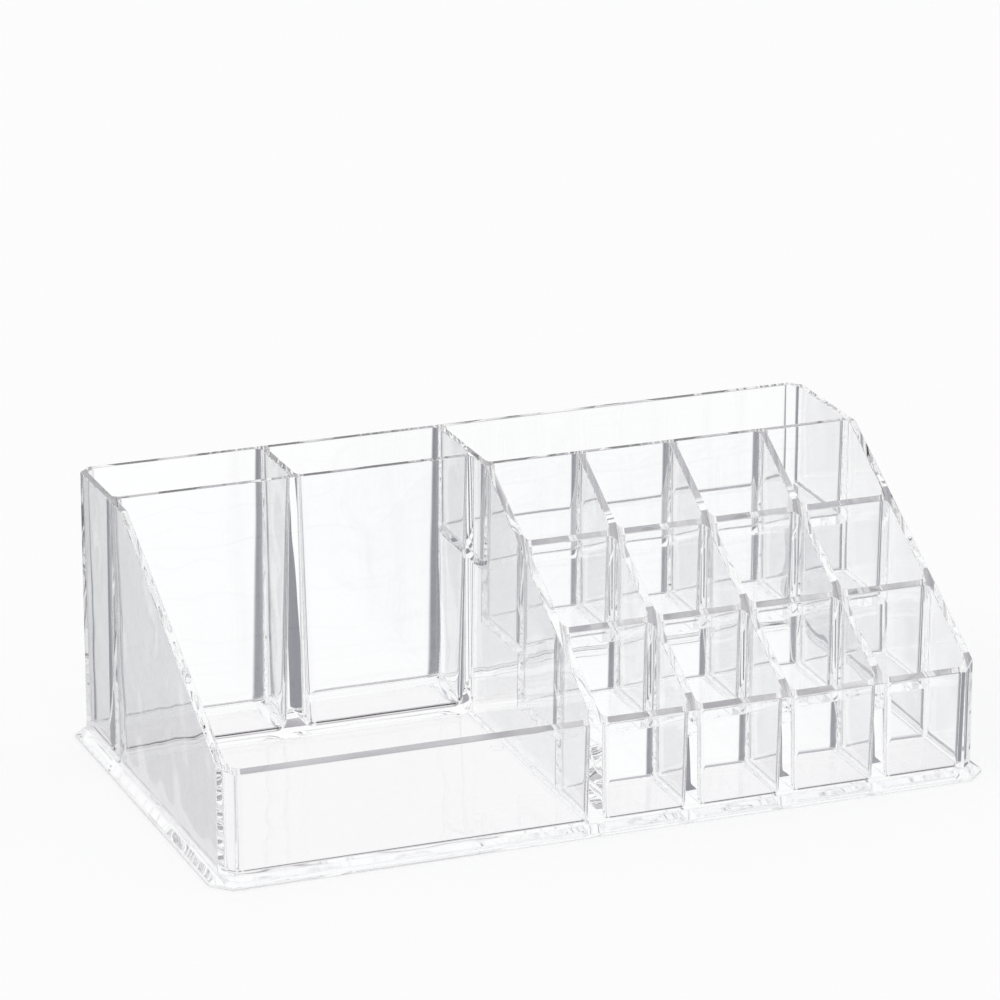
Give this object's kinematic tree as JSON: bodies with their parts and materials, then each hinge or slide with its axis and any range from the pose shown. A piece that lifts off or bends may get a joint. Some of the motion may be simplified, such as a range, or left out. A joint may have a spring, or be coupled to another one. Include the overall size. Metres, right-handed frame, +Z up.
{
  "type": "vanity organizer",
  "caption": "Clear plastic vanity organizer with a stepped rack of square lipstick slots, a long rear bin, tall brush bins and an open front tray, for cosmetics on a dressing table",
  "frame": {"origin": "on the table, under the middle of the skirt's footprint", "axes": "+X to the right seen from the front, where the stepped rack is; +Y to the back; +Z up"},
  "size_m": [0.224, 0.1272, 0.078],
  "materials": {
    "clear_plastic": "gloss"
  },
  "bodies": {
    "root": {"base": "clear_plastic", "back_wall": "clear_plastic", "front_wall": "clear_plastic", "left_end_wall": "clear_plastic", "right_end_wall": "clear_plastic", "rack_side_wall": "clear_plastic", "tall_bin_front_wall": "clear_plastic", "tall_bin_divider": "clear_plastic", "rear_bin_front_wall": "clear_plastic", "rear_bin_floor": "clear_plastic", "middle_row_floor": "clear_plastic", "upper_row_floor": "clear_plastic", "rack_divider_1": "clear_plastic", "rack_divider_2": "clear_plastic", "rack_divider_3": "clear_plastic", "middle_row_front_1": "clear_plastic", "middle_row_front_2": "clear_plastic", "middle_row_front_3": "clear_plastic", "middle_row_front_4": "clear_plastic", "upper_row_front_1": "clear_plastic", "upper_row_front_2": "clear_plastic", "upper_row_front_3": "clear_plastic", "upper_row_front_4": "clear_plastic"}
  },
  "joints": []
}
